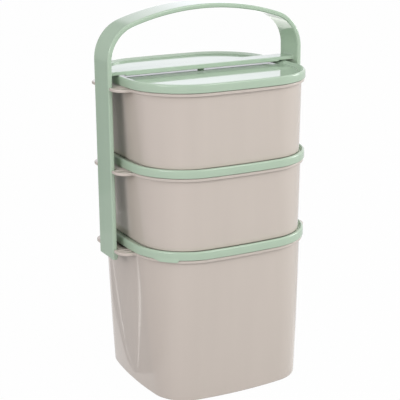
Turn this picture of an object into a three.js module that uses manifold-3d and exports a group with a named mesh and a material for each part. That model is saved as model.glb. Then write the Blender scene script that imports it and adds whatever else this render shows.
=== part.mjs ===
// A three-tier plastic lunch box: a deep tub, two shallow tubs, a press-on lid for each, and a carry
// handle whose legs run down both sides through notches in the tubs' ears.
// Millimetres, +Z up, +Y to the back. The origin is on the table, under the middle of the stack.

import * as THREE from 'three';
import { mergeVertices } from 'three/addons/utils/BufferGeometryUtils.js';
import Module from 'manifold-3d';

// Plan of a lid: a square with bowed sides and large round corners.
const lidWidth = 150;
const lidDepth = 144;
const lidSideRadius = 510;
const lidCornerRadius = 48;

// Tubs.
const deepTubHeight = 122.2;
const shallowTubHeight = 63;
const wallThickness = 1.6;
const floorThickness = 1.8;
const wallInset = 3;            // from the lid's edge in to the tub wall, just under the flange
const sideDraft = 0.053;        // how much each half of the width shrinks per millimetre of depth
const frontDraft = 0.03;        // the same for each half of the front-to-back depth
const cornerDraft = 0.135;      // the corners tighten towards the base
const bowDraft = 1.81;          // and the sides bow a little more
const baseEdge = 1;             // rounding of the tub's lower edge
const shoulderEdge = 0.3;       // rounding of the shoulder above a shallow tub's foot
const innerCorner = 4;          // rounding between floor and wall inside
const footRingWidth = 6;        // flat ring that the tub stands on
const footRecess = 0.8;         // the middle of the base is raised by this
const flangeThickness = 2.3;    // ledge that runs round the tub under its lid
const flangeInset = 0.8;
const rimEdge = 0.4;            // rounding of the tub's mouth

// Ears: the flange grows into a notched lug at the middle of the left and right sides.
const earLength = 56;
const earCornerRadius = 10;
const earLap = 3.2;             // how far an ear reaches out beside the leg in its notch

// Lids.
const skirtHeight = 6.5;        // from the lid's lower edge up to the crest of its raised rim
const skirtWall = 1.6;
const lidWall = 1.4;
const rimDip = 1.3;             // the rim slopes down inwards by this, from its crest to the recess
const recessDepth = 2.3;        // the panel lies this far below the crest
const panelThickness = 1.5;
const plugLength = 4.2;         // lip inside the tub's mouth
const skirtDraft = 0.3;
const rimRound = 1.3;           // rounding of the raised rim's outer edge
const recessRound = 0.3;        // rounding of the recess's two edges
const tabLength = 18;           // pull tab on one corner
const tabDrop = 1.7;            // how far the tab hangs below the lid's edge
const tabProud = 0.5;
const tabRise = 2;              // how far the tab's root runs up the lid's edge

// Button left by the mould's inlet, in the middle of the top lid.
const buttonWidth = 5;
const buttonHeight = 0.9;

// Carry handle.
const strapWidth = 26.6;
const strapThickness = 3.6;
const legRoom = 6.8;            // from the lid's side out to the leg's inner face
const barWidth = 15;
const barThickness = 3.6;
const barDip = 0.4;             // between the rims, the bar hangs this far below their crest
const handRoom = 44;            // from the cross bar up to the crown of the arch
const archRadius = 205;
const archCornerRadius = 31;
const hookDepth = 0.9;          // lip at the foot of each leg, under the deep tub's ear
const hookHeight = 6;
const hookLead = 0.7;           // the lip is tapered by this at its foot

// Clearances.
const seatGap = 0.3;            // between a piece and what it stands on
const skirtGap = 0.4;           // between a lid's edge and the tub's mouth inside it
const plugGap = 0.3;            // between a lid's inner lip and the tub's wall
const flangeGap = 0.5;          // shadow line between a lid's edge and the flange below
const footGap = 0.4;            // between a tub's foot and the recess that it stands in
const shoulderDrop = 0.4;       // a tub's shoulder lies this far below the crest of the rim around it
const barGap = 0.4;             // between the cross bar and the rim that its ends cross
const legGap = 0.5;             // between a leg and the sides of its notch
const hookGap = 0.3;            // between a leg's lip and the ear that it passes
const tabGap = 0.35;            // between the pull tab and the flange that it hangs over

// Sizes that follow from those.
const plugInset = wallInset + wallThickness + plugGap;
const recessInset = plugInset + lidWall;
const footInset = recessInset + footGap;
const mouthInset = skirtWall + skirtGap;
const lidRise = seatGap + lidWall + rimDip;                    // from a tub's mouth up to its lid's crest
const flangeDrop = skirtHeight - lidRise + flangeGap;          // from a tub's mouth down to its flange
const footHeight = recessDepth - seatGap - shoulderDrop;
const legInner = lidWidth / 2 + legRoom;
const legOuter = legInner + strapThickness;

// Faces in each round: steps along half a side, and along a corner.
const sideSteps = 2;
const cornerSteps = 8;
const outlineSteps = 4 * (2 * sideSteps + cornerSteps);
const curveSteps = 12;
const embed = 1;                // joined solids run this far into each other
const samePoint = 1e-4;         // points closer than this are one point

const green = { color: 0xa9bda8, roughness: 0.22, metalness: 0 };
const beige = { color: 0xc4bab1, roughness: 0.2, metalness: 0 };

const wasm = await Module();
wasm.setup();

// Plan outlines

const lidOutline = {
  halfX: lidWidth / 2,
  halfY: lidDepth / 2,
  sideRadius: lidSideRadius,
  cornerRadius: lidCornerRadius,
};

// The parallel outline, a distance further in.
function insetBy(outline, distance) {
  return {
    halfX: outline.halfX - distance,
    halfY: outline.halfY - distance,
    sideRadius: outline.sideRadius - distance,
    cornerRadius: outline.cornerRadius - distance,
  };
}

// Outer face of a tub's wall, a depth below its flange.
function wallAt(depth) {
  const top = insetBy(lidOutline, wallInset);
  return {
    halfX: top.halfX - sideDraft * depth,
    halfY: top.halfY - frontDraft * depth,
    sideRadius: top.sideRadius - bowDraft * depth,
    cornerRadius: top.cornerRadius - cornerDraft * depth,
  };
}

// Centre of the corner arc that is tangent to the two side arcs, in the first quadrant.
function cornerCentre({ halfX, halfY, sideRadius, cornerRadius }) {
  const side = new THREE.Vector2(halfX - sideRadius, 0);
  const back = new THREE.Vector2(0, halfY - sideRadius);
  const along = back.clone().sub(side);
  const span = along.length() / 2;
  const reach = sideRadius - cornerRadius;
  const height = Math.sqrt(reach * reach - span * span);
  const across = new THREE.Vector2(-along.y, along.x).normalize();
  if (across.x < 0) across.negate();
  return side.add(along.multiplyScalar(0.5)).add(across.multiplyScalar(height));
}

// Points round an outline, anticlockwise from the middle of the right side.
function outlinePoints(outline) {
  const { halfX, halfY, sideRadius, cornerRadius } = outline;
  const corner = cornerCentre(outline);
  const right = new THREE.Vector2(halfX - sideRadius, 0);
  const back = new THREE.Vector2(0, halfY - sideRadius);
  const first = corner.clone().sub(right).angle();
  const last = corner.clone().sub(back).angle();
  const arcs = [
    { centre: right, radius: sideRadius, from: 0, to: first, steps: sideSteps },
    { centre: corner, radius: cornerRadius, from: first, to: last, steps: cornerSteps },
    { centre: back, radius: sideRadius, from: last, to: Math.PI / 2, steps: sideSteps },
  ];
  const quarter = [];
  for (const arc of arcs) {
    for (let step = 0; step < arc.steps; step += 1) {
      const angle = arc.from + (arc.to - arc.from) * step / arc.steps;
      const ray = new THREE.Vector2(Math.cos(angle), Math.sin(angle));
      quarter.push(ray.multiplyScalar(arc.radius).add(arc.centre));
    }
  }
  const backMiddle = new THREE.Vector2(0, halfY);
  const half = [...quarter, backMiddle];
  for (const point of quarter.slice(1).reverse()) {
    half.push(new THREE.Vector2(-point.x, point.y));
  }
  const turned = half.map((point) => point.clone().negate());
  return [...half, ...turned];
}

// Solids

// A closed three.js geometry as a solid that can be joined and cut.
function solidOf(geometry) {
  const bare = geometry.clone();
  bare.deleteAttribute('normal');
  bare.deleteAttribute('uv');
  const merged = mergeVertices(bare, samePoint);
  const corners = merged.index.array;
  const triangles = [];
  for (let i = 0; i < corners.length; i += 3) {
    const [a, b, c] = corners.slice(i, i + 3);
    if (a !== b && b !== c && c !== a) triangles.push(a, b, c);
  }
  return new wasm.Manifold(new wasm.Mesh({
    numProp: 3,
    vertProperties: new Float32Array(merged.attributes.position.array),
    triVerts: new Uint32Array(triangles),
  }));
}

function meshOf(name, solid, finish) {
  const result = solid.getMesh();
  const geometry = new THREE.BufferGeometry();
  geometry.setAttribute('position', new THREE.BufferAttribute(result.vertProperties, 3));
  geometry.setIndex(new THREE.BufferAttribute(result.triVerts, 1));
  geometry.computeVertexNormals();
  const mesh = new THREE.Mesh(geometry, new THREE.MeshStandardMaterial(finish));
  mesh.name = name;
  return mesh;
}

// A section carried round the plan. Each ring of the section is an outline at a height, and a ring
// with no outline lies on the axis. The lathe gives the faces, and its rings are then moved to the plan.
function carryRound(rings) {
  const section = rings.map((ring, row) => new THREE.Vector2(ring.outline ? 1 : 0, row));
  const geometry = new THREE.LatheGeometry(section, outlineSteps);
  const position = geometry.attributes.position;
  rings.forEach((ring, row) => {
    const points = ring.outline ? outlinePoints(ring.outline) : null;
    for (let column = 0; column <= outlineSteps; column += 1) {
      const point = points ? points[column % outlineSteps] : new THREE.Vector2();
      position.setXYZ(column * rings.length + row, point.x, point.y, ring.z);
    }
  });
  return solidOf(geometry);
}

// The shape's outline as points, with the ends of neighbouring arcs that fall together taken once.
function pointsOf(shape) {
  const points = [];
  for (const point of shape.getPoints(curveSteps)) {
    const ends = [points[0], points[points.length - 1]];
    const repeated = ends.some((end) => end?.distanceTo(point) < samePoint);
    if (!repeated) points.push(point);
  }
  return points;
}

function extruded(shape, depth) {
  return new THREE.ExtrudeGeometry(new THREE.Shape(pointsOf(shape)), { depth, bevelEnabled: false });
}

// A shape in plan, as a level plate, or as the same plate turned half round the stack's axis.
function plateOf(shape, bottom, height, turned) {
  const geometry = extruded(shape, height).translate(0, 0, bottom);
  return solidOf(turned ? geometry.rotateZ(Math.PI) : geometry);
}

// A shape seen from the front, carried from front to back.
function carriedBack(shape, width) {
  return solidOf(extruded(shape, width).rotateX(Math.PI / 2).translate(0, width / 2, 0));
}

function blockOf(sizeX, sizeY, sizeZ, x, y, bottom) {
  const geometry = new THREE.BoxGeometry(sizeX, sizeY, sizeZ);
  return solidOf(geometry.translate(x, y, bottom + sizeZ / 2));
}

// Tubs

// Plan of one ear on the right side: a lug with round corners and a notch for the leg.
function earShape() {
  const root = lidWidth / 2 - wallInset - wallThickness / 2;
  const tip = legInner + earLap;
  const half = earLength / 2;
  const floor = legInner - hookDepth - hookGap;
  const jaw = strapWidth / 2 + legGap;
  const shape = new THREE.Shape();
  shape.moveTo(root, -half);
  shape.lineTo(tip - earCornerRadius, -half);
  shape.absarc(tip - earCornerRadius, earCornerRadius - half, earCornerRadius, -Math.PI / 2, 0, false);
  shape.lineTo(tip, -jaw);
  shape.lineTo(floor, -jaw);
  shape.lineTo(floor, jaw);
  shape.lineTo(tip, jaw);
  shape.absarc(tip - earCornerRadius, half - earCornerRadius, earCornerRadius, 0, Math.PI / 2, false);
  shape.lineTo(root, half);
  shape.closePath();
  return shape;
}

// Rings of a deep tub's lower edge, or of a shallow tub's foot and the shoulder above it.
function footRings(bottom, wall, stepped) {
  const foot = stepped ? insetBy(lidOutline, footInset) : wall(bottom);
  const ring = insetBy(foot, footRingWidth);
  const rings = [
    { z: bottom + footRecess },
    { outline: ring, z: bottom + footRecess },
    { outline: ring, z: bottom },
    { outline: insetBy(foot, baseEdge), z: bottom },
  ];
  if (!stepped) {
    const middle = baseEdge * (1 - Math.SQRT1_2);
    rings.push({ outline: insetBy(wall(bottom + middle), middle), z: bottom + middle });
    rings.push({ outline: wall(bottom + baseEdge), z: bottom + baseEdge });
    return rings;
  }
  const shoulder = bottom + footHeight;
  rings.push({ outline: foot, z: bottom + baseEdge });
  rings.push({ outline: foot, z: shoulder });
  rings.push({ outline: insetBy(wall(shoulder), shoulderEdge), z: shoulder });
  rings.push({ outline: wall(shoulder + shoulderEdge), z: shoulder + shoulderEdge });
  return rings;
}

function tub(name, bottom, height, stepped) {
  const mouth = bottom + height;
  const flangeTop = mouth - flangeDrop;
  const flangeBottom = flangeTop - flangeThickness;
  const floor = bottom + footRecess + floorThickness;
  const wall = (z) => wallAt(flangeBottom - z);
  const inside = (z) => insetBy(wall(z), wallThickness);
  const flange = insetBy(lidOutline, flangeInset);
  const rim = insetBy(lidOutline, mouthInset);
  const throat = insetBy(lidOutline, wallInset + wallThickness);
  const cornerMiddle = innerCorner * (1 - Math.SQRT1_2);
  const shell = carryRound([
    ...footRings(bottom, wall, stepped),
    { outline: wall(flangeBottom), z: flangeBottom },
    { outline: flange, z: flangeBottom },
    { outline: flange, z: flangeTop },
    { outline: rim, z: flangeTop },
    { outline: rim, z: mouth - rimEdge },
    { outline: insetBy(rim, rimEdge), z: mouth },
    { outline: insetBy(throat, -rimEdge), z: mouth },
    { outline: throat, z: mouth - rimEdge },
    { outline: throat, z: flangeBottom },
    { outline: inside(floor + innerCorner), z: floor + innerCorner },
    { outline: insetBy(inside(floor + cornerMiddle), cornerMiddle), z: floor + cornerMiddle },
    { outline: insetBy(inside(floor), innerCorner), z: floor },
    { z: floor },
  ]);
  const rightEar = plateOf(earShape(), flangeBottom, flangeThickness, false);
  const leftEar = plateOf(earShape(), flangeBottom, flangeThickness, true);
  return meshOf(name, shell.add(rightEar).add(leftEar), beige);
}

// Lids

// Pull tab on the front left corner, or on the opposite one: a curved plate that hangs over the flange.
function pullTab(edge, atBack) {
  const corner = cornerCentre(lidOutline);
  const outer = lidCornerRadius + tabProud;
  const inner = lidCornerRadius - flangeInset + tabGap;
  const middle = 1.25 * Math.PI;                               // towards the front left
  const half = tabLength / lidCornerRadius / 2;
  const shape = new THREE.Shape();
  shape.absarc(-corner.x, -corner.y, outer, middle - half, middle + half, false);
  shape.absarc(-corner.x, -corner.y, inner, middle + half, middle - half, true);
  shape.closePath();
  return plateOf(shape, edge - tabDrop, tabDrop + tabRise, atBack);
}

// Low round button on the panel.
function button(panel) {
  const shape = new THREE.Shape();
  shape.absarc(0, 0, buttonWidth / 2, 0, 2 * Math.PI, false);
  return plateOf(shape, panel - embed, buttonHeight + embed, false);
}

function lid(name, crest, tabAtBack, buttoned) {
  const edge = crest - skirtHeight;
  const panel = crest - recessDepth;
  const channel = crest - rimDip - lidWall;
  const plugEnd = channel - plugLength;
  const at = (distance) => insetBy(lidOutline, distance);
  const rimMiddle = rimRound * (1 - Math.SQRT1_2);
  let shell = carryRound([
    { z: panel - panelThickness },
    { outline: at(recessInset), z: panel - panelThickness },
    { outline: at(recessInset), z: plugEnd },
    { outline: at(plugInset), z: plugEnd },
    { outline: at(plugInset), z: channel },
    { outline: at(skirtWall), z: channel },
    { outline: at(skirtWall), z: edge },
    { outline: at(0), z: edge },
    { outline: at(skirtDraft), z: crest - rimRound },
    { outline: at(skirtDraft + rimMiddle), z: crest - rimMiddle },
    { outline: at(skirtDraft + rimRound), z: crest },
    { outline: at(recessInset - recessRound), z: crest - rimDip },
    { outline: at(recessInset), z: crest - rimDip - recessRound },
    { outline: at(recessInset), z: panel + recessRound },
    { outline: at(recessInset + recessRound), z: panel },
    { z: panel },
  ]);
  shell = shell.add(pullTab(edge, tabAtBack));
  if (buttoned) shell = shell.add(button(panel));
  return meshOf(name, shell, green);
}

// Carry handle

// Side of the handle seen from the front: an arch on two straight legs, hooked inwards at the foot.
function strapShape(crown, legEnd) {
  const peak = crown - archRadius;
  const cornerX = legOuter - archCornerRadius;
  const reach = archRadius - archCornerRadius;
  const rise = Math.sqrt(reach * reach - cornerX * cornerX);
  const cornerZ = peak + rise;
  const turn = Math.atan2(rise, cornerX);
  const innerCornerRadius = archCornerRadius - strapThickness;
  const innerRadius = archRadius - strapThickness;
  const hook = legInner - hookDepth;
  const hookTop = legEnd + hookHeight;
  const shape = new THREE.Shape();
  shape.moveTo(legOuter, legEnd);
  shape.lineTo(legOuter, cornerZ);
  shape.absarc(cornerX, cornerZ, archCornerRadius, 0, turn, false);
  shape.absarc(0, peak, archRadius, turn, Math.PI - turn, false);
  shape.absarc(-cornerX, cornerZ, archCornerRadius, Math.PI - turn, Math.PI, false);
  shape.lineTo(-legOuter, legEnd);
  shape.lineTo(-hook - hookLead, legEnd);
  shape.lineTo(-hook, legEnd + hookHeight / 2);
  shape.lineTo(-hook, hookTop);
  shape.lineTo(-legInner, hookTop);
  shape.absarc(-cornerX, cornerZ, innerCornerRadius, Math.PI, Math.PI - turn, true);
  shape.absarc(0, peak, innerRadius, Math.PI - turn, turn, true);
  shape.absarc(cornerX, cornerZ, innerCornerRadius, turn, 0, true);
  shape.lineTo(legInner, hookTop);
  shape.lineTo(hook, hookTop);
  shape.lineTo(hook, legEnd + hookHeight / 2);
  shape.lineTo(hook + hookLead, legEnd);
  shape.closePath();
  return shape;
}

function carryHandle(topCrest, lowestEar) {
  const barBottom = topCrest - barDip;
  const barTop = barBottom + barThickness;
  const endBottom = topCrest + barGap;
  const betweenRims = lidWidth - 2 * (recessInset + barGap);
  const crown = barTop + handRoom + strapThickness;
  const legEnd = lowestEar - hookGap - hookHeight;
  const strap = carriedBack(strapShape(crown, legEnd), strapWidth);
  const bar = blockOf(betweenRims, barWidth, barThickness, 0, 0, barBottom);
  const ends = blockOf(2 * (legInner + embed), barWidth, barTop - endBottom, 0, 0, endBottom);
  return meshOf('carry_handle', strap.add(bar).add(ends), green);
}

// Stack

const lunchBox = new THREE.Group();
const tiers = [
  { tier: 'bottom', height: deepTubHeight, stepped: false, tabAtBack: false, buttoned: false },
  { tier: 'middle', height: shallowTubHeight, stepped: true, tabAtBack: true, buttoned: false },
  { tier: 'top', height: shallowTubHeight, stepped: true, tabAtBack: true, buttoned: true },
];
let bottom = 0;
let crest = 0;
for (const { tier, height, stepped, tabAtBack, buttoned } of tiers) {
  crest = bottom + height + lidRise;
  lunchBox.add(tub(`${tier}_tub`, bottom, height, stepped));
  lunchBox.add(lid(`${tier}_lid`, crest, tabAtBack, buttoned));
  bottom = crest - recessDepth + seatGap;
}
lunchBox.add(carryHandle(crest, deepTubHeight - flangeDrop - flangeThickness));

export default lunchBox;
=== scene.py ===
"""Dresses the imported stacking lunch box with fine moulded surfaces, plastics, a camera and studio light.

The file is laid out as an add-on and is run as a script. Lengths are in metres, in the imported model's
frame: +Z up, +Y to the back, the origin on the table under the middle of the stack.
"""

import bpy
import numpy as np
from mathutils import Matrix, Vector


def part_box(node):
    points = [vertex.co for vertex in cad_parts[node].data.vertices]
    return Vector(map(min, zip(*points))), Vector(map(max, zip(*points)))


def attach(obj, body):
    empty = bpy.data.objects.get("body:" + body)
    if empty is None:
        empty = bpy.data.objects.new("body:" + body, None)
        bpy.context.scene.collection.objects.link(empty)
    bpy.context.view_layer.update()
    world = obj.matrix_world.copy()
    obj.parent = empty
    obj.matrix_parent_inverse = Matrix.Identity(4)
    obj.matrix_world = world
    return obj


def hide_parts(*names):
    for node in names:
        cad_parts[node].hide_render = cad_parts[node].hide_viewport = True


bl_info = {
    "name": "Stacking Lunch Box",
    "version": (1, 0, 0),
    "blender": (4, 5, 0),
    "location": "3D View > Sidebar > Lunch Box",
    "description": "Builds the surfaces, plastics and studio of a stacking lunch box around its solids",
    "category": "Object",
}

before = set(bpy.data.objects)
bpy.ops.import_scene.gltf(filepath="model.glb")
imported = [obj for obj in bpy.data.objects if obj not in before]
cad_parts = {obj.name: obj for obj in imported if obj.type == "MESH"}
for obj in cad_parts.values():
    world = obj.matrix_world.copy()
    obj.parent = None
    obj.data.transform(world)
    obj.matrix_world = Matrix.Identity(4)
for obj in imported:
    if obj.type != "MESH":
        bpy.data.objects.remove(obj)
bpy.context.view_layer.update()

MM = 0.001
ARC_STEPS = 6                       # steps in each rounded edge
SUPPORT = 0.25 * MM                 # a flat keeps a line of points this far from each rounded edge
LONGEST = 6 * MM                    # longest step along a flat
LID_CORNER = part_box("bottom_lid")[1]
HANDLE_LOW, HANDLE_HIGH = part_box("carry_handle")
EAR_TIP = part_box("bottom_tub")[1].x
FRONT_LEFT, BACK_RIGHT = np.radians([225, 45])      # outward angles of the corners with pull tabs


# Sizes and colours that a user would change

def length(name, description, millimetres):
    """A length in the sidebar, given in millimetres."""
    return bpy.props.FloatProperty(
        name=name, description=description, default=millimetres * MM, unit="LENGTH", precision=5)


def share(name, description, value):
    """A plain number in the sidebar."""
    return bpy.props.FloatProperty(name=name, description=description, default=value, precision=4)


def angle(name, description, degrees):
    """An angle in the sidebar, given in degrees."""
    return bpy.props.FloatProperty(
        name=name, description=description, default=np.radians(degrees), unit="ROTATION", precision=4)


def linear(code):
    """Linear colour of an sRGB hex value such as #b4c8b3."""
    coded = np.array([int(code[at:at + 2], 16) for at in (1, 3, 5)]) / 255
    return np.where(coded <= 0.04045, coded / 12.92, ((coded + 0.055) / 1.055) ** 2.4)


def colour(name, description, code):
    """A colour in the sidebar, given as an sRGB hex value."""
    return bpy.props.FloatVectorProperty(
        name=name, description=description, default=linear(code), size=3, min=0, max=1, subtype="COLOR")


class LidSizes(bpy.types.PropertyGroup):
    """Plan and section of the lids, and the button on the top one."""

    half_width: length("Half width", "From the middle to the lid's side", LID_CORNER.x / MM)
    half_depth: length("Half depth", "From the middle to the lid's front", LID_CORNER.y / MM)
    side_radius: length("Side radius", "Radius of the bowed sides in plan", 510)
    corner_radius: length("Corner radius", "Radius of the corners in plan", 48)
    skirt_height: length("Skirt height", "From the lower edge up to the rim's crest", 6.5)
    skirt_wall: length("Skirt wall", "Thickness of the skirt", 1.6)
    skirt_draft: length("Skirt draft", "How far the skirt leans in at its top", 0.3)
    skirt_edge: length("Skirt edge", "Rounding of the skirt's lower edge", 0.35)
    rim_wall: length("Rim wall", "Thickness of the raised rim at the recess", 1.4)
    rim_round: length("Rim rounding", "Rounding of the rim's outer edge", 1.3)
    rim_dip: length("Rim dip", "How far the rim slopes down inwards, from its crest to the recess", 1.3)
    recess_depth: length("Recess depth", "From the rim's crest down to the panel", 2.3)
    recess_inset: length("Recess inset", "From the lid's edge in to the recess", 6.3)
    recess_round: length("Recess rounding", "Rounding of the recess's two edges", 0.35)
    panel: length("Panel", "Thickness of the panel", 1.5)
    plug_inset: length("Plug inset", "From the lid's edge in to the lip inside the tub", 4.9)
    plug_length: length("Plug length", "Height of the lip inside the tub", 4.2)
    tab_length: length("Tab length", "Length of the pull tab", 18)
    tab_drop: length("Tab drop", "How far the tab hangs below the lid's edge", 1.7)
    tab_proud: length("Tab proud", "How far the tab stands out", 0.5)
    tab_rise: length("Tab rise", "How far the tab's root runs up the skirt", 2)
    tab_slope: length("Tab slope", "Length of the tab's steep end", 1.4)
    tab_taper: length("Tab taper", "Length of the tab's gentle end", 6)
    tab_lip: length("Tab lip", "From the lid's edge in to the tab's inner face", 0.45)
    button_width: length("Button width", "Width of the round button that the mould's inlet left", 5)
    button_height: length("Button height", "Height of the button above the panel", 0.9)
    button_edge: length("Button edge", "Rounding of the button's edge", 0.25)


class TubSizes(bpy.types.PropertyGroup):
    """Section of the tubs, and their ears."""

    wall_inset: length("Wall inset", "From the lid's edge in to the wall under the flange", 3)
    wall: length("Wall", "Thickness of the wall", 1.6)
    floor: length("Floor", "Thickness of the floor", 1.8)
    side_draft: share("Side draft", "How much the left and right sides come in with depth", 0.053)
    front_draft: share("Front draft", "How much the front and back come in with depth", 0.03)
    bow_draft: share("Bow draft", "How much the sides' radius shrinks with depth", 1.81)
    corner_draft: share("Corner draft", "How much the corners tighten with depth", 0.135)
    base_edge: length("Base edge", "Rounding of the lower edge", 1)
    inner_corner: length("Inner corner", "Rounding between floor and wall inside", 4)
    foot_ring: length("Foot ring", "Width of the flat ring that the tub stands on", 6)
    foot_recess: length("Foot recess", "How far the middle of the base is raised", 0.8)
    foot_inset: length("Foot inset", "From a lid's edge in to the foot of the tub on it", 6.7)
    foot_height: length("Foot height", "From a shallow tub's foot up to its shoulder", 1.6)
    shoulder_edge: length("Shoulder edge", "Rounding of the shoulder above a shallow tub's foot", 0.3)
    flange: length("Flange", "Thickness of the ledge under the lid", 2.3)
    flange_inset: length("Flange inset", "From the lid's edge in to the flange", 0.8)
    flange_drop: length("Flange drop", "From the mouth down to the flange", 4)
    flange_edge: length("Flange edge", "Rounding of the flange's edges", 0.5)
    mouth_inset: length("Mouth inset", "From the lid's edge in to the mouth inside it", 2)
    mouth_edge: length("Mouth edge", "Rounding of the mouth", 0.4)
    small_edge: length("Small edge", "Rounding of the other edges", 0.3)
    ear_length: length("Ear length", "Length of an ear along the tub's side", 56)
    ear_corner: length("Ear corner", "Rounding of an ear's corners in plan", 10)
    ear_root: length("Ear root", "Rounding where an ear leaves the flange", 1.2)
    notch_depth: length("Notch depth", "Depth of the notch in an ear", 4.4)
    notch_corner: length("Notch corner", "Rounding of the notch's corners in plan", 0.8)
    leg_gap: length("Leg gap", "Between a leg and the sides of its notch", 0.5)


class HandleSizes(bpy.types.PropertyGroup):
    """The carry handle's strap and cross bar."""

    strap: length("Strap", "Thickness of the strap", 3.6)
    strap_edge: length("Strap edge", "Rounding of the strap's edges", 1.1)
    arch_radius: length("Arch radius", "Radius of the arch's crown", 205)
    arch_corner: length("Arch corner", "Radius of the bends between crown and legs", 31)
    hook_depth: length("Hook depth", "How far the lip at a leg's foot reaches in", 0.9)
    hook_height: length("Hook height", "Height of the lip", 6)
    hook_lead: length("Hook lead", "Taper of the lip at its foot", 0.7)
    foot_edge: length("Foot edge", "Rounding of a leg's end", 0.4)
    bar_width: length("Bar width", "Width of the cross bar", 15)
    bar: length("Bar", "Thickness of the cross bar", 3.6)
    bar_dip: length("Bar dip", "How far the bar hangs below the crest of the rims at its ends", 0.4)
    bar_gap: length("Bar gap", "Between the bar and the rim that its ends cross", 0.4)
    bar_edge: length("Bar edge", "Rounding of the bar's edges", 0.5)
    bar_fillet: length("Bar fillet", "Rounding where the bar meets the legs", 1.5)


class Plastics(bpy.types.PropertyGroup):
    """The two mouldings' colours and gloss."""

    green: colour("Green", "Colour of the lids and the handle", "#a9bda8")
    beige: colour("Beige", "Colour of the tubs", "#c4bab1")
    gloss: share("Roughness", "Roughness of the polished mouldings", 0.06)
    refraction: share("Refraction", "Refractive index of polypropylene", 1.49)


class Studio(bpy.types.PropertyGroup):
    """Camera and light."""

    azimuth: angle("Azimuth", "Camera's place round the stack, from the front to the right", -27.68)
    elevation: angle("Elevation", "Camera's height above the horizon", 16.02)
    roll: angle("Roll", "Camera's turn about its own line of sight", -0.49)
    distance: length("Distance", "From the camera to its target", 940.74)
    target_x: length("Target X", "The target's place across the stack", -1.55)
    target_z: length("Target Z", "The target's height", 143.58)
    focal: bpy.props.FloatProperty(
        name="Lens", description="Focal length of the camera", default=103.68, unit="CAMERA")
    ambient: share("Ambient", "Brightness of the room on the object", 0.75)
    front: share("Front", "Power in watts of the lamp in front, on the right", 30.5)
    near: share("Near", "Power in watts of the lamp on the left of the camera", 31)
    right: share("Right", "Power in watts of the lamp on the right", 35)
    back: share("Back", "Power in watts of the lamp behind, mirrored in the top lid", 4.4)


# Curves and surfaces

def unit(vectors):
    """Each vector divided by its length."""
    return vectors / np.linalg.norm(vectors, axis=-1, keepdims=True)


def outward(points, closed):
    """Unit vectors to the right of a path, from the step between each point's two neighbours."""
    if closed:
        step = np.roll(points, -1, axis=0) - np.roll(points, 1, axis=0)
    else:
        step = np.gradient(points, axis=0)
    return unit(np.stack([step[:, 1], -step[:, 0]], axis=1))


def divided(points, longest):
    """The same path with each step that is too long cut into equal steps."""
    counts = np.ceil(np.linalg.norm(np.diff(points, axis=0), axis=1) / longest).astype(int).clip(1)
    first = np.repeat(np.arange(len(counts)), counts)
    step = np.arange(len(first)) - np.repeat(np.cumsum(counts) - counts, counts)
    part = (step / counts[first])[:, None]
    inner = points[first] + part * (points[first + 1] - points[first])
    return np.vstack([inner, points[-1:]])


def rounded_path(corners, radii):
    """A line through the corners, with each inner one turned into a tangent arc.

    An arc of radius r leaves the straights r / tan(a / 2) from its corner, where a is the angle there.
    Its points are its two end rays, mixed by the sines of the angle still to go and of the angle gone.
    A point on the straight just before and after each arc keeps flats flat when they are shaded.
    """
    corners = np.asarray(corners, float)
    radii = np.asarray(radii, float)[:, None]
    here = corners[1:-1]
    before = unit(corners[:-2] - here)
    after = unit(corners[2:] - here)
    half = np.arccos(np.sum(before * after, axis=1, keepdims=True)) / 2
    reach = radii / np.tan(half)
    start = here + before * reach
    end = here + after * reach
    centre = here + unit(before + after) * radii / np.sin(half)
    sweep = np.pi - 2 * half
    gone = np.linspace(0, 1, ARC_STEPS + 1)
    first = (np.sin((1 - gone) * sweep) / np.sin(sweep))[..., None] * (start - centre)[:, None]
    last = (np.sin(gone * sweep) / np.sin(sweep))[..., None] * (end - centre)[:, None]
    arcs = centre[:, None] + first + last
    room_before = np.linalg.norm(start - np.vstack([corners[:1], end[:-1]]), axis=1, keepdims=True)
    room_after = np.linalg.norm(np.vstack([start[1:], corners[-1:]]) - end, axis=1, keepdims=True)
    lead = start + before * np.minimum(SUPPORT, room_before / 3)
    tail = end + after * np.minimum(SUPPORT, room_after / 3)
    blocks = np.concatenate([lead[:, None], arcs, tail[:, None]], axis=1)
    return np.vstack([corners[:1], blocks.reshape(-1, 2), corners[-1:]])


def rounded_loop(corners, radii):
    """A closed polygon with round corners: the path through its corners, begun and ended past the first."""
    corners = np.asarray(corners, float)
    return rounded_path(np.vstack([corners[-1:], corners, corners[:1]]), radii)[1:-1]


def rectangle_loop(low, high, radius):
    """A rectangle with round corners between two corner points."""
    (left, bottom), (right, top) = low, high
    return rounded_loop([(left, bottom), (right, bottom), (right, top), (left, top)], [radius] * 4)


def rounded_square(sizes, angles):
    """Points of a square of tangent arcs, one for each outward angle.

    Sizes are the two half widths, the sides' radius and the corners' radius, in the last axis. A corner's
    centre lies as far from both side centres as the radii differ. A point is its arc's centre plus the
    arc's radius along the outward angle, worked out in the first quadrant and then given the angle's signs.
    """
    half_x, half_y, side_radius, corner_radius = np.moveaxis(np.asarray(sizes, float), -1, 0)[..., None]
    side = half_x - side_radius
    back = half_y - side_radius
    span = np.hypot(side, back) / 2
    height = np.sqrt((side_radius - corner_radius) ** 2 - span ** 2)
    corner_x = side / 2 - back / span / 2 * height
    corner_y = back / 2 - side / span / 2 * height
    across = np.abs(np.cos(angles))
    along = np.abs(np.sin(angles))
    folded = np.arctan2(along, across)
    on_side = folded < np.arctan2(corner_y, corner_x - side)
    on_back = folded > np.arctan2(corner_y - back, corner_x)
    radius = np.where(on_side | on_back, side_radius, corner_radius)
    x = np.where(on_side, side, np.where(on_back, 0, corner_x)) + radius * across
    y = np.where(on_back, back, np.where(on_side, 0, corner_y)) + radius * along
    return np.stack([np.copysign(x, np.cos(angles)), np.copysign(y, np.sin(angles))], axis=-1)


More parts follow.
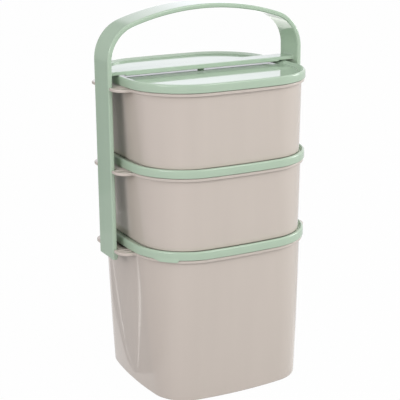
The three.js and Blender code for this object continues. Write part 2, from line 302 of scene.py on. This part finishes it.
def raised(plan, heights):
    """Points of a plan with a height for each ring."""
    height = np.broadcast_to(np.asarray(heights)[:, None], plan.shape[:-1])
    return np.concatenate([plan, height[..., None]], axis=-1)


def surface(name, rings):
    """A closed mesh over a grid of points, ring by ring.

    Quads join each ring to the next and close round it, and a fan of triangles closes each end at the
    middle of its ring. The faces are turned over if the volume that they enclose comes out negative.
    """
    count, around = rings.shape[:2]
    points = np.vstack([rings.reshape(-1, 3), rings[0].mean(axis=0), rings[-1].mean(axis=0)])
    index = np.arange(count * around).reshape(count, around)
    beside = np.roll(index, -1, axis=1)
    quads = np.stack([index[:-1], beside[:-1], beside[1:], index[1:]], axis=-1).reshape(-1, 4)
    first = np.stack([np.full(around, count * around), beside[0], index[0]], axis=-1)
    last = np.stack([np.full(around, count * around + 1), index[-1], beside[-1]], axis=-1)
    triangles = np.vstack([quads[:, [0, 1, 2]], quads[:, [0, 2, 3]], first, last])
    a, b, c = np.moveaxis(points[triangles], 1, 0)
    faces = [*quads.tolist(), *first.tolist(), *last.tolist()]
    if np.sum(a * np.cross(b, c)) < 0:
        faces = [face[::-1] for face in faces]
    mesh = bpy.data.meshes.new(name)
    mesh.from_pydata(points.tolist(), [], faces)
    mesh.shade_smooth()
    return mesh


def add_piece(name, rings, material, slot, body, *nodes):
    """Puts a surface into the scene on its body, in place of the named nodes."""
    piece = bpy.data.objects.new(name, surface(name, rings))
    bpy.context.scene.collection.objects.link(piece)
    piece.data.materials.append(material)
    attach(piece, body)
    if nodes:
        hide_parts(*nodes)


# Materials

def add_node(tree, kind, inputs=None, links=None, **settings):
    """Adds a node with its properties, its inputs' values and the sockets that feed it."""
    node = tree.nodes.new(kind)
    for name, value in settings.items():
        setattr(node, name, value)
    for name, value in (inputs or {}).items():
        node.inputs[name].default_value = value
    for name, socket in (links or {}).items():
        tree.links.new(socket, node.inputs[name])
    return node


def moulded_polypropylene(name, base, plastics):
    """Polypropylene from a polished mould: an even pastel body with a clear gloss.

    The eye gets slow bands where the melt flowed up the wall, a gloss that varies a little from place to
    place, and a faint ripple in reflections. The ripple is drawn a little coarser than it is, so that it
    shows.
    """
    flow_width = 14 * MM
    flow_length = 160 * MM
    flow_tint = 0.035
    gloss_patch = 22 * MM
    gloss_change = 0.25
    ripple_width = 5 * MM
    ripple_height = 0.02 * MM
    material = bpy.data.materials.new(name)
    material.use_nodes = True
    tree = material.node_tree
    tree.nodes.clear()
    place = add_node(tree, "ShaderNodeTexCoord")
    along = add_node(
        tree, "ShaderNodeMapping", links={"Vector": place.outputs["Object"]},
        inputs={"Scale": (1 / flow_width, 1 / flow_width, 1 / flow_length)})
    flow = add_node(
        tree, "ShaderNodeTexNoise", links={"Vector": along.outputs["Vector"]},
        inputs={"Scale": 1, "Detail": 2, "Roughness": 0.5})
    # A colour mix takes its two colours in sockets 6 and 7 and gives the result in socket 2
    tint = add_node(tree, "ShaderNodeMix", data_type="RGBA", links={"Factor": flow.outputs["Fac"]})
    tint.inputs[6].default_value = (*np.array(base) * (1 - flow_tint), 1)
    tint.inputs[7].default_value = (*np.clip(np.array(base) * (1 + flow_tint), 0, 1), 1)
    patches = add_node(
        tree, "ShaderNodeTexNoise", links={"Vector": place.outputs["Object"]},
        inputs={"Scale": 1 / gloss_patch, "Detail": 3, "Roughness": 0.55})
    gloss = add_node(
        tree, "ShaderNodeMapRange", links={"Value": patches.outputs["Fac"]},
        inputs={
            "To Min": plastics.gloss * (1 - gloss_change),
            "To Max": plastics.gloss * (1 + gloss_change),
        })
    ripple = add_node(
        tree, "ShaderNodeTexNoise", links={"Vector": place.outputs["Object"]},
        inputs={"Scale": 1 / ripple_width, "Detail": 1, "Roughness": 0.4})
    bump = add_node(
        tree, "ShaderNodeBump", links={"Height": ripple.outputs["Fac"]},
        inputs={"Strength": 0.25, "Distance": ripple_height})
    shader = add_node(
        tree, "ShaderNodeBsdfPrincipled",
        inputs={"IOR": plastics.refraction},
        links={
            "Base Color": tint.outputs[2],
            "Roughness": gloss.outputs["Result"],
            "Normal": bump.outputs["Normal"],
        })
    add_node(tree, "ShaderNodeOutputMaterial", links={"Surface": shader.outputs["BSDF"]})
    return material


def plastic(which):
    """The green or the beige moulding's material, made when it is first asked for."""
    plastics = bpy.context.scene.lunch_box_plastics
    name = f"{which} moulded polypropylene"
    return bpy.data.materials.get(name) or moulded_polypropylene(name, getattr(plastics, which), plastics)


# Lids

def lid_outline():
    """The four sizes of the lid's plan at its lower edge."""
    sizes = bpy.context.scene.lunch_box_lids
    return np.array([sizes.half_width, sizes.half_depth, sizes.side_radius, sizes.corner_radius])


def lid_angles(sizes):
    """Outward angles of a lid's columns: even steps, with finer ones over the pull tab's sloped ends."""
    even_step = 1.25                # degrees
    slope_points = 17
    half = sizes.tab_length / 2
    gentle = np.linspace(-half - sizes.tab_taper, sizes.tab_taper - half, slope_points)
    steep = np.linspace(half - sizes.tab_slope, half + sizes.tab_slope, slope_points)
    corners = np.array([[BACK_RIGHT], [FRONT_LEFT]])
    fine = corners + np.concatenate([gentle, steep]) / sizes.corner_radius
    even = np.radians(np.arange(0, 360, even_step))
    return np.unique(np.round(np.concatenate([even, fine.ravel()]), 5))


def lid_rings(sizes, crest, tab_at):
    """Rings of a lid, as points of its section set in from its outline.

    The section runs from the middle underneath, down the lip inside the tub, round the skirt's lower edge
    and over the rim to the middle of the panel. Over the tab's angles, the lower edge outside the tab's
    inner face hangs down and stands out, by a share that falls to nothing at the tab's root and at its two
    ends.
    """
    edge = crest - sizes.skirt_height
    panel = crest - sizes.recess_depth
    under = panel - sizes.panel
    channel = crest - sizes.rim_dip - sizes.rim_wall
    plug_end = channel - sizes.plug_length
    recess = sizes.recess_inset
    plug = sizes.plug_inset
    middle = sizes.corner_radius - LONGEST
    small = sizes.recess_round / 2
    split = SUPPORT / 10
    root = edge + 1.5 * sizes.tab_rise
    slope = sizes.rim_dip / (recess - sizes.skirt_draft - sizes.rim_round)
    brow = crest + slope * sizes.rim_round
    inside = divided(rounded_path(
        [(middle, under), (recess, under), (recess, plug_end), (plug, plug_end), (plug, channel),
         (sizes.skirt_wall, channel), (sizes.skirt_wall, edge), (sizes.tab_lip + split, edge)],
        [small] * 6), LONGEST)
    lower = divided(rounded_path(
        [(sizes.tab_lip - split, edge), (0, edge), (0, root)], [sizes.skirt_edge]), SUPPORT)
    upper = divided(rounded_path(
        [(0, root + SUPPORT), (sizes.skirt_draft, brow), (recess, crest - sizes.rim_dip), (recess, panel),
         (middle, panel)],
        [sizes.rim_round, sizes.recess_round, sizes.recess_round]), LONGEST)
    section = np.vstack([inside, lower, upper])
    hangs = np.zeros(len(section))
    hangs[len(inside):len(inside) + len(lower)] = 1
    fade = np.clip((edge + sizes.tab_rise - section[:, 1]) / sizes.tab_rise, 0, 1)
    fade = hangs * fade ** 2 * (3 - 2 * fade)
    angles = lid_angles(sizes)
    past = ((angles - tab_at + np.pi) % (2 * np.pi) - np.pi) * sizes.corner_radius
    gentle = np.clip((sizes.tab_length / 2 + past) / sizes.tab_taper + 0.5, 0, 1)
    steep = np.clip((sizes.tab_length / 2 - past) / sizes.tab_slope + 0.5, 0, 1)
    share_of_tab = fade[:, None] * gentle * steep
    inset = section[:, :1] - sizes.tab_proud * share_of_tab
    height = section[:, 1:] - sizes.tab_drop * share_of_tab
    plan = rounded_square(lid_outline(), angles)
    facing = np.stack([np.cos(angles), np.sin(angles)], axis=-1)
    points = plan - inset[..., None] * facing
    return np.concatenate([points, height[..., None]], axis=-1)


def button_rings(sizes, crest):
    """Rings of the button: a low upright cylinder with a round upper edge, sunk a little into the panel."""
    step = 10                       # degrees
    radius = sizes.button_width / 2
    panel = crest - sizes.recess_depth
    top = panel + sizes.button_height
    side = rounded_path(
        [(radius, panel - sizes.button_edge), (radius, top), (radius / 2, top)], [sizes.button_edge])
    turn = np.radians(np.arange(0, 360, step))
    ray = np.stack([np.cos(turn), np.sin(turn)], axis=1)
    return raised(side[:, :1, None] * ray, side[:, 1])


class LUNCHBOX_OT_lids(bpy.types.Operator):
    """Makes the lids with their pull tabs, and the button on the top lid"""

    bl_idname = "lunchbox.lids"
    bl_label = "Lids"

    def execute(self, context):
        sizes = context.scene.lunch_box_lids
        lids = [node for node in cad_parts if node.endswith("_lid")]
        lids.sort(key=lambda node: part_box(node)[1].z)
        for node in lids:
            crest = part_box(node)[1].z
            tab_at = FRONT_LEFT if node == lids[0] else BACK_RIGHT
            name = f"{node}_shell"
            add_piece(name, lid_rings(sizes, crest, tab_at), plastic("green"), "green_plastic", node, node)
        button = button_rings(sizes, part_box(lids[-1])[1].z)
        add_piece("top_lid_button", button, plastic("green"), "green_plastic", lids[-1])
        return {"FINISHED"}


# Tubs

def ear_columns(sizes):
    """One ear on the right side: its outline from front to back, and the wall's outward angles there.

    The outline is a polygon with round corners that leaves the flange, goes out to the tip, in to the
    notch's floor and back the same way. The wall's columns keep the same order in Y, so that no two cross
    in the flange.
    """
    reach = 30                      # degrees to both sides of the ear's middle
    samples = 1201
    half = sizes.ear_length / 2
    jaw = HANDLE_HIGH.y + sizes.leg_gap
    floor = EAR_TIP - sizes.notch_depth
    flange = lid_outline() - sizes.flange_inset
    turns = np.radians(np.linspace(-reach, reach, samples))
    edge_x, edge_y = rounded_square(flange, turns).T
    leave = -half - 2 * sizes.ear_root
    start, root = np.interp([leave, -half], edge_y, edge_x)
    front = [(start, leave), (root, -half), (EAR_TIP, -half), (EAR_TIP, -jaw), (floor, -jaw)]
    corners = front + [(x, -y) for x, y in reversed(front)]
    radii = [sizes.ear_root, sizes.ear_corner, sizes.notch_corner, sizes.notch_corner]
    outline = rounded_path(corners, radii + radii[::-1])
    step = sizes.notch_corner / 4
    order = np.array([
        leave, -half + step / 2, -half + step, sizes.ear_corner - half, -jaw - 4 * step, -jaw - 2 * step,
        -jaw - step, -jaw + step])
    block = ARC_STEPS + 3
    begin = 1 + block * np.arange(4)
    keys = np.stack([begin, begin + block - 1], axis=1).ravel()
    keys[0] = 0
    keys = np.concatenate([keys, len(outline) - 1 - keys[::-1]])
    order = np.concatenate([order, -order[::-1]])
    wall_y = np.interp(np.arange(len(outline)), keys, order)
    return outline, np.interp(wall_y, edge_y, turns)


def tub_columns(sizes):
    """Outward angles of a tub's columns, with the flange's outline and its outward vectors there."""
    ear, ear_angles = ear_columns(sizes)
    steps = 90
    rest = np.linspace(ear_angles[-1], np.pi + ear_angles[0], steps + 1)[1:-1]
    angles = np.concatenate([ear_angles, rest])
    angles = np.concatenate([angles, angles + np.pi])
    edge = rounded_square(lid_outline() - sizes.flange_inset, angles)
    facing = np.stack([np.cos(angles), np.sin(angles)], axis=-1)
    half = len(angles) // 2
    edge[:len(ear)] = ear
    edge[half:half + len(ear)] = -ear
    facing[:len(ear)] = outward(ear, False)
    facing[half:half + len(ear)] = -facing[:len(ear)]
    return angles, edge, facing


def tub_rings(sizes, bottom, mouth, stepped):
    """Rings of a tub, from the middle of its base up the outside, over the mouth and down to the floor.

    Each point of the section is an inset from the wall's outer face and a height. The wall's outline
    shrinks and tightens with its depth below the flange. The flange's rings are set in from its own
    outline, which grows into the ears, and a shallow tub's foot is set in from the lid's outline.
    """
    flange_top = mouth - sizes.flange_drop
    flange_bottom = flange_top - sizes.flange
    floor = bottom + sizes.foot_recess + sizes.floor
    shoulder = bottom + sizes.foot_height
    small = sizes.small_edge
    draft = np.array([sizes.side_draft, sizes.front_draft, sizes.bow_draft, sizes.corner_draft])
    middle = 3 * sizes.foot_ring
    rim = sizes.mouth_inset - sizes.wall_inset
    seat = 2 * sizes.flange_edge
    brink = sizes.flange_inset + seat - sizes.wall_inset + small / 4
    angles, edge, facing = tub_columns(sizes)

    def wall_rings(section):
        depth = np.maximum(flange_bottom - section[:, 1:], 0)
        outline = lid_outline() - sizes.wall_inset - section[:, :1] - depth * draft
        return raised(rounded_square(outline, angles), section[:, 1])

    def foot_rings(section):
        outline = lid_outline() - sizes.foot_inset - section[:, :1]
        return raised(rounded_square(outline, angles), section[:, 1])

    def flange_rings(section):
        return raised(edge - section[:, :1, None] * facing, section[:, 1])

    ring = sizes.foot_ring
    raised_base = bottom + sizes.foot_recess
    foot = [(middle, raised_base), (ring, raised_base), (ring, bottom), (0, bottom)]
    wall_top = [(0, flange_bottom), (brink, flange_bottom)]
    if stepped:
        brow = sizes.shoulder_edge
        lower = rounded_path(
            [*foot, (0, shoulder), (-small / 2, shoulder)], [small, small, sizes.base_edge, small])
        outside = rounded_path([(1.1 * brow, shoulder), (0, shoulder), *wall_top], [brow, small])
        outer = [foot_rings(divided(lower, LONGEST)), wall_rings(divided(outside, LONGEST))]
    else:
        outside = rounded_path([*foot, *wall_top], [small, small, sizes.base_edge, small])
        outer = [wall_rings(divided(outside, LONGEST))]
    flange = rounded_path(
        [(seat, flange_bottom), (0, flange_bottom), (0, flange_top), (seat, flange_top)],
        [sizes.flange_edge] * 2)
    inside = rounded_path(
        [(brink, flange_top), (rim, flange_top), (rim, mouth), (sizes.wall, mouth), (sizes.wall, floor),
         (middle, floor)],
        [small / 2, sizes.mouth_edge, sizes.mouth_edge, sizes.inner_corner])
    return np.vstack([*outer, flange_rings(flange), wall_rings(divided(inside, LONGEST))])


class LUNCHBOX_OT_tubs(bpy.types.Operator):
    """Makes the tubs with their flanges and notched ears"""

    bl_idname = "lunchbox.tubs"
    bl_label = "Tubs"

    def execute(self, context):
        sizes = context.scene.lunch_box_tubs
        for node in sorted(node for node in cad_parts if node.endswith("_tub")):
            low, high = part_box(node)
            stepped = node != "bottom_tub"
            rings = tub_rings(sizes, low.z, high.z, stepped)
            add_piece(f"{node}_shell", rings, plastic("beige"), "beige_plastic", node, node)
        return {"FINISHED"}


# Carry handle

def strap_rings(sizes):
    """Rings of the strap: a rectangle with round edges, up one leg, over the arch and down the other.

    The outer line is straight up the leg, then an arc of the corner's radius, then an arc of the crown's. A
    section point lies its inset from the outer face along the line's inward direction, and its place across
    the width. On the inner face the lip's depth is added. At the foot the section is set in by a quarter
    circle.
    """
    bend_points = 33
    crown_points = 41
    outer = HANDLE_HIGH.x
    foot = HANDLE_LOW.z
    peak = HANDLE_HIGH.z - sizes.arch_radius
    corner_x = outer - sizes.arch_corner
    rise = np.sqrt((sizes.arch_radius - sizes.arch_corner) ** 2 - corner_x ** 2)
    bend = peak + rise
    turn = np.arctan2(rise, corner_x)
    ledge = foot + sizes.hook_height
    lip = rounded_path(
        [(foot, sizes.hook_depth - sizes.hook_lead), (foot + sizes.hook_height / 2, sizes.hook_depth),
         (ledge, sizes.hook_depth), (ledge, 0), (bend, 0)],
        [sizes.hook_lead, sizes.foot_edge, sizes.foot_edge])
    lip = divided(lip, LONGEST)
    quarter = sizes.foot_edge * (1 - np.cos(np.linspace(0, np.pi / 2, ARC_STEPS + 1)))
    tip = np.stack([foot + quarter, np.interp(foot + quarter, lip[:, 0], lip[:, 1])], axis=1)
    leg = np.vstack([tip, lip[lip[:, 0] > tip[-1, 0]]])
    straight = np.stack([np.full(len(leg), outer), leg[:, 0]], axis=1)
    bend_angle = np.linspace(0, turn, bend_points)[1:]
    crown_angle = np.linspace(turn, np.pi / 2, crown_points)[1:]
    ray = np.concatenate([np.zeros(len(leg)), bend_angle, crown_angle])
    facing = np.stack([np.cos(ray), np.sin(ray)], axis=1)
    corner = [corner_x, bend] + sizes.arch_corner * facing[len(leg):-len(crown_angle)]
    crown = [0, peak] + sizes.arch_radius * facing[-len(crown_angle):]
    line = np.vstack([straight, corner, crown])
    hook = np.pad(leg[:, 1], (0, len(line) - len(leg)))
    rounding = sizes.foot_edge - (line[:, 1] - foot).clip(0, sizes.foot_edge)
    inset = sizes.foot_edge - np.sqrt(sizes.foot_edge ** 2 - rounding ** 2)
    mirror = [-1, 1]
    line = np.vstack([line, line[-2::-1] * mirror])
    facing = np.vstack([facing, facing[-2::-1] * mirror])
    hook = np.concatenate([hook, hook[-2::-1]])
    inset = np.concatenate([inset, inset[-2::-1]])
    half = HANDLE_HIGH.y
    loop = rectangle_loop((0, -half), (sizes.strap, half), sizes.strap_edge)
    section = loop - inset[:, None, None] * outward(loop, True)
    depth = section[..., 0] + hook[:, None] * (loop[:, 0] > sizes.strap / 2)
    points = line[:, None] - depth[..., None] * facing[:, None]
    return np.stack([points[..., 0], section[..., 1], points[..., 1]], axis=-1)


def bar_rings(sizes, lids, crest):
    """Rings of the cross bar: a rectangle with round edges carried along X, from one leg to the other.

    Near each leg the section swells by a quarter circle into a fillet. Over the lid's rim the underside is
    raised, by a share that grows evenly over a short slope just inside the rim.
    """
    slope_points = 5
    span_points = 29
    inner = HANDLE_HIGH.x - sizes.strap
    low = (-sizes.bar_width / 2, crest - sizes.bar_dip)
    high = (sizes.bar_width / 2, low[1] + sizes.bar)
    loop = rectangle_loop(low, high, sizes.bar_edge)
    radius = sizes.bar_fillet
    turn = np.linspace(0, np.pi / 2, 2 * ARC_STEPS + 1)
    near = inner - radius + radius * np.sin(turn)
    slope = sizes.bar_edge
    between = lids.half_width - lids.recess_inset - sizes.bar_gap
    step = between - slope * np.linspace(0, 1, slope_points)
    half = np.concatenate([step, near, [inner + sizes.strap / 4]])
    span = np.linspace(radius - inner, inner - radius, span_points)
    along = np.unique(np.concatenate([-half, half, span]))
    close = np.clip(np.abs(along) - (inner - radius), 0, radius)
    swell = radius - np.sqrt(radius ** 2 - close ** 2)
    section = loop + swell[:, None, None] * outward(loop, True)
    over_rim = np.clip((np.abs(along) - between) / slope + 1, 0, 1)
    underside = loop[:, 1] < (low[1] + high[1]) / 2
    section[..., 1] += (sizes.bar_dip + sizes.bar_gap) * over_rim[:, None] * underside
    across = np.broadcast_to(along[:, None, None], (*section.shape[:2], 1))
    return np.concatenate([across, section], axis=-1)


class LUNCHBOX_OT_handle(bpy.types.Operator):
    """Makes the carry handle's strap and its cross bar"""

    bl_idname = "lunchbox.handle"
    bl_label = "Carry handle"

    def execute(self, context):
        sizes = context.scene.lunch_box_handle
        node = "carry_handle"
        bar = bar_rings(sizes, context.scene.lunch_box_lids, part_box("top_lid")[1].z)
        add_piece(f"{node}_strap", strap_rings(sizes), plastic("green"), "green_plastic", node, node)
        add_piece(f"{node}_bar", bar, plastic("green"), "green_plastic", node)
        return {"FINISHED"}


# Stage

def aim_camera(studio):
    """Places the camera: its target, plus the distance along the direction away from the stack."""
    flat = np.cos(studio.elevation)
    away = Vector((
        np.sin(studio.azimuth) * flat, -np.cos(studio.azimuth) * flat, np.sin(studio.elevation)))
    right = Vector((0, 0, 1)).cross(away).normalized()
    up = away.cross(right)
    turn = Matrix.Rotation(studio.roll, 3, away)
    axes = Matrix((turn @ right, turn @ up, away)).transposed()
    target = Vector((studio.target_x, 0, studio.target_z))
    camera = bpy.data.objects.new("camera", bpy.data.cameras.new("camera"))
    camera.data.lens = studio.focal
    camera.data.clip_start = studio.distance / 100
    camera.data.clip_end = studio.distance * 20
    camera.matrix_world = Matrix.Translation(target + away * studio.distance) @ axes.to_4x4()
    bpy.context.scene.collection.objects.link(camera)
    bpy.context.scene.camera = camera


def away_from_stack(azimuth, elevation, distance):
    """Placing of a lamp that faces the stack's middle from a direction in degrees and a distance."""
    turn, rise = np.radians([azimuth, elevation])
    aim = Vector((np.sin(turn) * np.cos(rise), -np.cos(turn) * np.cos(rise), np.sin(rise)))
    place = Vector((0, 0, HANDLE_HIGH.z / 2)) + distance * aim
    return Matrix.Translation(place) @ aim.to_track_quat("Z", "Y").to_matrix().to_4x4()


def add_softbox(name, azimuth, elevation, size, watts, light="#ffffff"):
    """A square lamp that the camera doesn't see, bright in its middle and fading towards its edges."""
    distance = 1.6
    lamp = bpy.data.lights.new(name, "AREA")
    lamp.size = size
    lamp.energy = watts
    lamp.color = linear(light)
    lamp.use_nodes = True
    tree = lamp.node_tree
    tree.nodes.clear()
    place = add_node(tree, "ShaderNodeNewGeometry")
    centred = add_node(
        tree, "ShaderNodeMapping", links={"Vector": place.outputs["Parametric"]},
        inputs={"Location": (-1, -1, 0), "Scale": (2, 2, 0)})
    fade = add_node(
        tree, "ShaderNodeTexGradient", links={"Vector": centred.outputs["Vector"]},
        gradient_type="SPHERICAL")
    glow = add_node(tree, "ShaderNodeEmission", links={"Strength": fade.outputs["Fac"]})
    add_node(tree, "ShaderNodeOutputLight", links={"Surface": glow.outputs["Emission"]})
    holder = bpy.data.objects.new(name, lamp)
    bpy.context.scene.collection.objects.link(holder)
    holder.matrix_world = away_from_stack(azimuth, elevation, distance)
    holder.visible_camera = False


def seen_directly(tree):
    """A socket that is 1 for rays from the camera, from gloss and through glass, and 0 for the others."""
    path = add_node(tree, "ShaderNodeLightPath")
    mirrored = add_node(tree, "ShaderNodeMath", operation="MAXIMUM")
    tree.links.new(path.outputs["Is Camera Ray"], mirrored.inputs[0])
    tree.links.new(path.outputs["Is Glossy Ray"], mirrored.inputs[1])
    either = add_node(tree, "ShaderNodeMath", operation="MAXIMUM")
    tree.links.new(mirrored.outputs[0], either.inputs[0])
    tree.links.new(path.outputs["Is Transmission Ray"], either.inputs[1])
    return either.outputs[0]


def white_room(studio):
    """A white room: plain white where it is seen or mirrored, and a soft even light on the object."""
    world = bpy.data.worlds.new("white room")
    world.use_nodes = True
    tree = world.node_tree
    tree.nodes.clear()
    white = (1, 1, 1, 1)
    light = add_node(tree, "ShaderNodeBackground", inputs={"Color": white, "Strength": studio.ambient})
    seen = add_node(tree, "ShaderNodeBackground", inputs={"Color": white, "Strength": 1})
    mixed = add_node(tree, "ShaderNodeMixShader", links={"Fac": seen_directly(tree)})
    tree.links.new(light.outputs[0], mixed.inputs[1])
    tree.links.new(seen.outputs[0], mixed.inputs[2])
    add_node(tree, "ShaderNodeOutputWorld", links={"Surface": mixed.outputs[0]})
    bpy.context.scene.world = world


def floor_paper():
    """Matt paper: nearly all that is seen of it is plain white, and the grey rest keeps the shadow.

    For the light that it throws back on the object, it is grey.
    """
    white_part = 0.985
    grey = 0.45
    material = bpy.data.materials.new("white backdrop paper")
    material.use_nodes = True
    tree = material.node_tree
    tree.nodes.clear()
    matt = add_node(tree, "ShaderNodeBsdfDiffuse", inputs={"Color": (grey, grey, grey, 1)})
    plain = add_node(tree, "ShaderNodeEmission", inputs={"Color": (1, 1, 1, 1), "Strength": 1})
    amount = add_node(
        tree, "ShaderNodeMath", links={0: seen_directly(tree)}, inputs={1: white_part},
        operation="MULTIPLY")
    mixed = add_node(tree, "ShaderNodeMixShader", links={"Fac": amount.outputs[0]})
    tree.links.new(matt.outputs[0], mixed.inputs[1])
    tree.links.new(plain.outputs[0], mixed.inputs[2])
    add_node(tree, "ShaderNodeOutputMaterial", links={"Surface": mixed.outputs[0]})
    return material


def add_floor():
    """The floor: a level square, far larger than the object."""
    reach = 4.0
    corners = reach * np.array([(-1, -1, 0), (1, -1, 0), (1, 1, 0), (-1, 1, 0)])
    mesh = bpy.data.meshes.new("floor")
    mesh.from_pydata(corners.tolist(), [], [(0, 1, 2, 3)])
    mesh.materials.append(floor_paper())
    floor = bpy.data.objects.new("floor", mesh)
    bpy.context.scene.collection.objects.link(floor)


def painted_reflection_paint():
    """Evenly glowing card for painted reflections: each point gives off its own stored shade, whatever the
    lamps do.
    """
    material = bpy.data.materials.new("painted reflection card")
    material.use_nodes = True
    tree = material.node_tree
    tree.nodes.clear()
    printed = add_node(tree, "ShaderNodeAttribute", attribute_name="shade")
    glow = add_node(tree, "ShaderNodeEmission", links={"Color": printed.outputs["Color"]})
    add_node(tree, "ShaderNodeOutputMaterial", links={"Surface": glow.outputs["Emission"]})
    return material


def add_card(name, inner, outer, shades, paint):
    """A card that only gloss sees, as a strip of wedges between two rings about the stack's left side. It
    is a painted reflection: painted shade where it is dark, painted light where it is bright.

    A ring is a radius and a height. The shades are pairs of an azimuth in degrees and a share of white,
    from the card's dark colour at 0 to white at 1 and a brighter glow above 1.
    """
    left_share = 0.93               # of the lid's half width
    # painted shade: the cards' colour where their share of white is 0
    dark = np.array([0.07, 0.09, 0.12])
    middle = np.array([-left_share * LID_CORNER.x, 0])
    azimuths, shares = np.array(shades).T
    turn = np.radians(azimuths)
    ray = np.stack([np.sin(turn), -np.cos(turn)], axis=1)
    rings = [np.insert(middle + radius * ray, 2, height, axis=1) for radius, height in (inner, outer)]
    count = len(turn)
    faces = [(at, at + 1, count + at + 1, count + at) for at in range(count - 1)]
    mesh = bpy.data.meshes.new(name)
    mesh.from_pydata(np.vstack(rings).tolist(), [], faces)
    shade = np.ones((count, 4))
    shade[:, :3] = dark + shares[:, None] * (1 - dark)
    stored = mesh.attributes.new("shade", "FLOAT_COLOR", "POINT")
    stored.data.foreach_set("color", np.tile(shade, (2, 1)).ravel())
    mesh.materials.append(paint)
    card = bpy.data.objects.new(name, mesh)
    bpy.context.scene.collection.objects.link(card)
    card.visible_camera = False
    card.visible_diffuse = False
    card.visible_shadow = False


def add_cards():
    """Painted reflections: cards that shape the reflections on the tubs' left sides, the leg, the arch and
    the right edges.

    On the floor, dark wedges of painted shade keep the white paper out of the left sides. Two narrow bright
    rays of painted light close to the stack are mirrored there as thin lines. A grey wedge of painted shade
    at the right keeps the right edges apart from the white behind them. A bright wedge of painted light
    behind is mirrored inside the arch's right bend. An upright grey card of painted shade behind, on the
    left, is mirrored in the arch's left bend.
    """
    paint = painted_reflection_paint()
    near, lines_end, middle, far = [(radius, MM) for radius in (0.005, 0.42, 0.6, 2.5)]
    top = (far[0], 2.2)
    # shares of white for the painted shade; the thin lines above 1 are painted light
    dim = 0.45
    first_line = [(-166.8, dim), (-166.4, 1.6), (-166, 1.6), (-165.6, dim)]
    second_line = [(-147.6, dim), (-147, 2), (-146, 2), (-145.4, dim)]
    lines = [*first_line, *second_line]
    add_card("near card", near, lines_end, [(-178, 1), (-171, dim), *lines, (-125, dim), (-50, 1)], paint)
    add_card("middle card", lines_end, middle, [(-165, 1), (-159, 0.3), (-125, 0.3), (-75, 1)], paint)
    add_card("far card", middle, far, [(-185, 1), (-175, 0.1), (-140, 0.1), (-105, 1)], paint)
    add_card("right card", near, far, [(75, 1), (90, 0.75), (140, 0.75), (145, 1)], paint)
    add_card("rear card", lines_end, far, [(145, 1), (150, 2.5), (170, 2.5), (175, 1)], paint)
    add_card("upright card", far, top, [(-200, 1), (-185, 0.35), (-130, 0.35), (-110, 1)], paint)


class LUNCHBOX_OT_stage(bpy.types.Operator):
    """Makes the camera, the white room, the floor, the cards of painted reflection and the lamps"""

    bl_idname = "lunchbox.stage"
    bl_label = "Stage"

    def execute(self, context):
        studio = context.scene.lunch_box_studio
        aim_camera(studio)
        white_room(studio)
        add_floor()
        add_cards()
        pink, violet = "#fffbff", "#ece4ff"
        add_softbox("front softbox", azimuth=21, elevation=30, size=1.2, watts=studio.front)
        add_softbox("near softbox", azimuth=-65, elevation=20, size=1.0, watts=studio.near, light=pink)
        add_softbox("right softbox", azimuth=80, elevation=15, size=1.0, watts=studio.right)
        add_softbox("back softbox", azimuth=153, elevation=16, size=1.4, watts=studio.back, light=violet)
        context.scene.view_settings.view_transform = "Standard"
        return {"FINISHED"}


class LUNCHBOX_PT_sidebar(bpy.types.Panel):
    """Lists the operators that build the lunch box and its stage"""

    bl_label = "Lunch Box"
    bl_space_type = "VIEW_3D"
    bl_region_type = "UI"
    bl_category = "Lunch Box"

    def draw(self, context):
        for operator in OPERATORS:
            self.layout.operator(operator.bl_idname)


OPERATORS = (LUNCHBOX_OT_tubs, LUNCHBOX_OT_lids, LUNCHBOX_OT_handle, LUNCHBOX_OT_stage)
SETTINGS = {
    "lunch_box_lids": LidSizes,
    "lunch_box_tubs": TubSizes,
    "lunch_box_handle": HandleSizes,
    "lunch_box_plastics": Plastics,
    "lunch_box_studio": Studio,
}
CLASSES = (*SETTINGS.values(), *OPERATORS, LUNCHBOX_PT_sidebar)


def register():
    """Registers the classes and puts the settings on the scene."""
    for known in CLASSES:
        bpy.utils.register_class(known)
    for name, group in SETTINGS.items():
        setattr(bpy.types.Scene, name, bpy.props.PointerProperty(type=group))


def unregister():
    """Takes the settings off the scene and unregisters the classes."""
    for name in SETTINGS:
        delattr(bpy.types.Scene, name)
    for known in reversed(CLASSES):
        bpy.utils.unregister_class(known)


def main():
    """Builds every piece and the stage."""
    register()
    bpy.ops.lunchbox.tubs()
    bpy.ops.lunchbox.lids()
    bpy.ops.lunchbox.handle()
    bpy.ops.lunchbox.stage()


if __name__ == "__main__":
    main()
